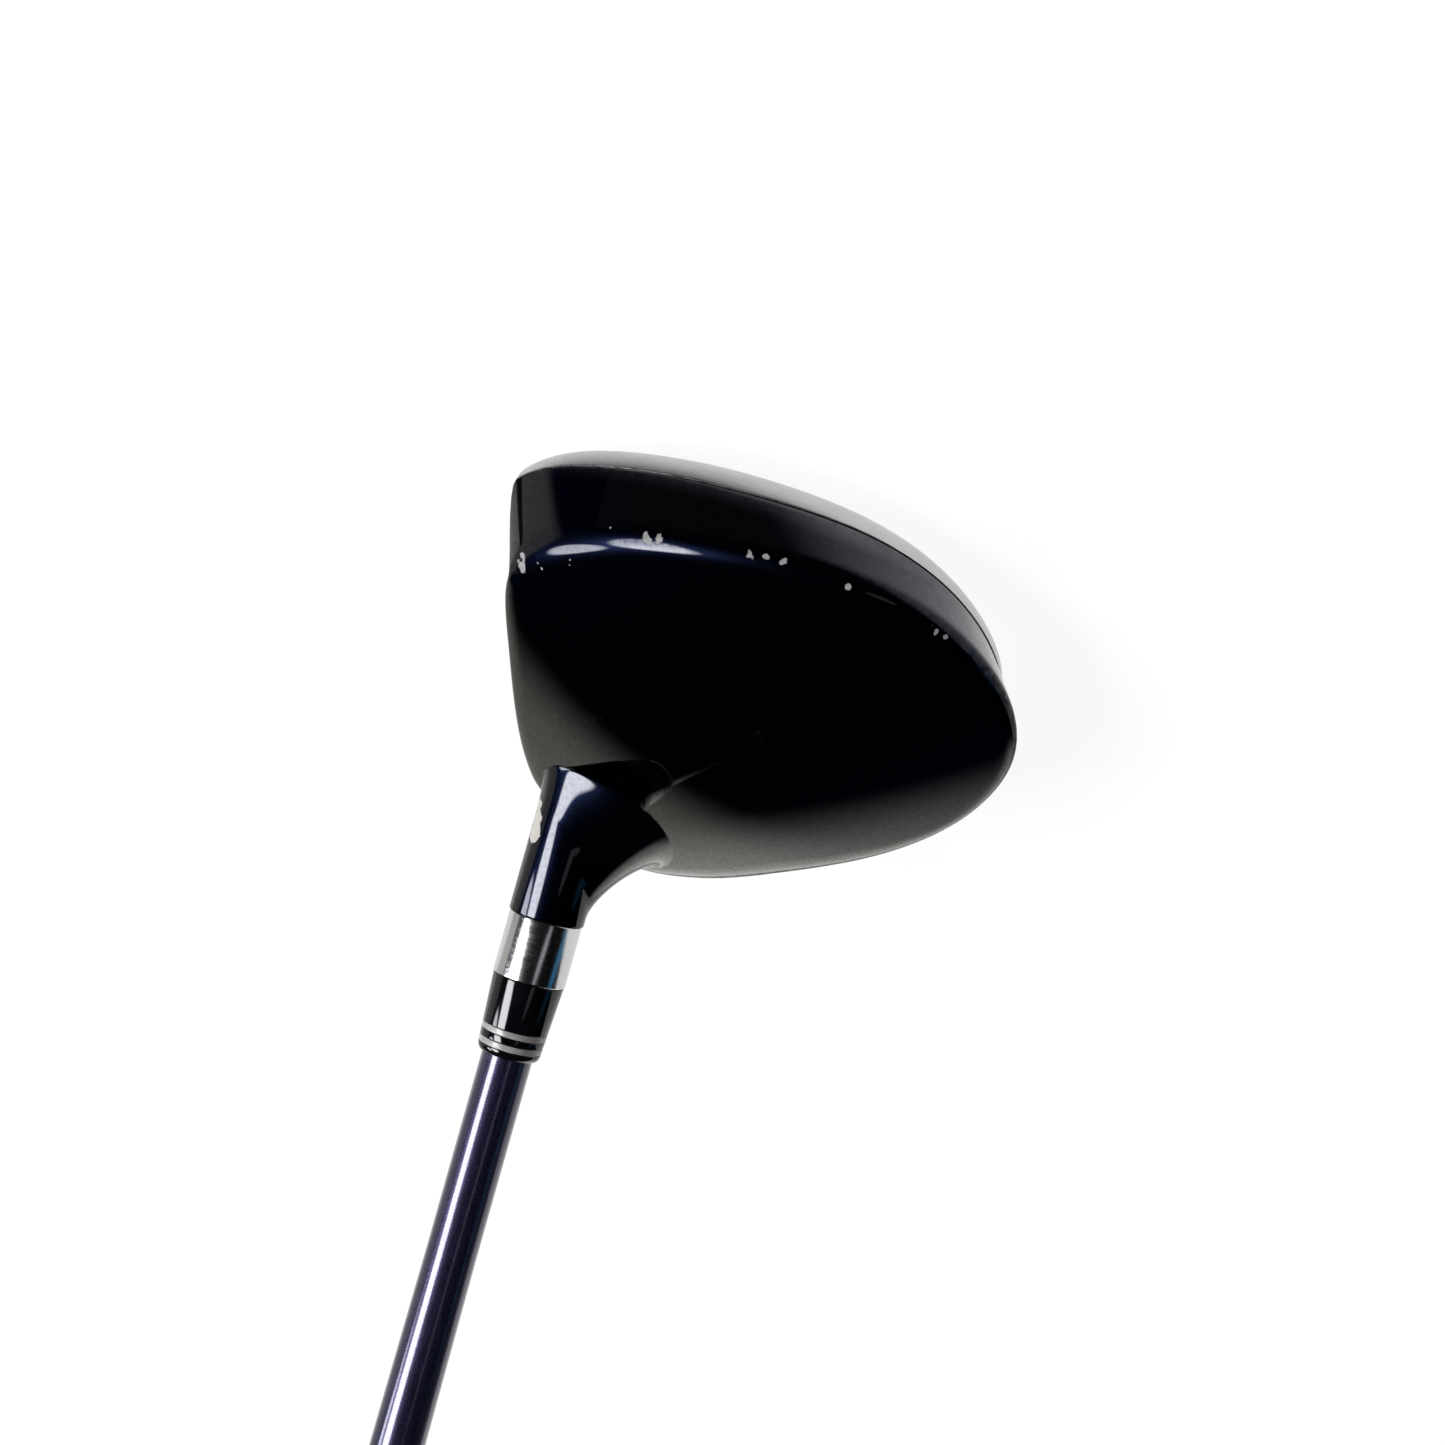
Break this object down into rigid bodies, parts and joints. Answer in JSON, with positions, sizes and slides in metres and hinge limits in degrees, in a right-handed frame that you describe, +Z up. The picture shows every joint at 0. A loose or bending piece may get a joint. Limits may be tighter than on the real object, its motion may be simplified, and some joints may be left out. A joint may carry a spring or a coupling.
{
  "type": "golf driver",
  "caption": "Wood-type golf club with a compact rounded metal head, painted crown, polished hosel collar, banded ferrule, tapered graphite shaft and rubber grip.",
  "frame": {"origin": "centre of the flat rest patch on the sole, with the club soled at address", "axes": "+Z up from the ground, -Y from the face towards the target, -X towards the toe, +X towards the player's side; the shaft leans towards +X at 57 degrees from the ground"},
  "size_m": [0.6733, 0.0892, 0.9576],
  "materials": {
    "crown_paint": "very glossy near-black navy paint, chipped along the crown edge",
    "satin_steel": "satin bare metal",
    "face_steel": "blasted bare metal with score lines",
    "polished_steel": "mirror polished",
    "ferrule_black": "glossy black",
    "ferrule_silver": "pearly silver trim",
    "shaft_graphite": "clear-coated dark navy graphite composite",
    "grip_rubber": "matt black rubber",
    "cloth_tape": "double-sided cloth tape",
    "epoxy": "cured glue",
    "foam": "rigid damping foam",
    "weight_metal": "bare weight metal"
  },
  "bodies": {
    "root": {"crown_shell": "crown_paint", "hosel_neck": "crown_paint", "body_shell": "satin_steel", "sole_plate": "satin_steel", "hosel_tube": "satin_steel", "face_plate": "face_steel", "hosel_collar": "polished_steel", "rear_weight": "weight_metal", "bore_plug": "weight_metal", "tip_weight": "weight_metal", "foam_core": "foam", "epoxy_sleeve": "epoxy", "ferrule_body": "ferrule_black", "ferrule_ring_lower": "ferrule_silver", "ferrule_spacer": "ferrule_black", "ferrule_ring_upper": "ferrule_silver", "ferrule_lip": "ferrule_black", "shaft": "shaft_graphite", "grip_tape": "cloth_tape", "grip_sleeve": "grip_rubber", "grip_cap": "grip_rubber"}
  },
  "joints": []
}
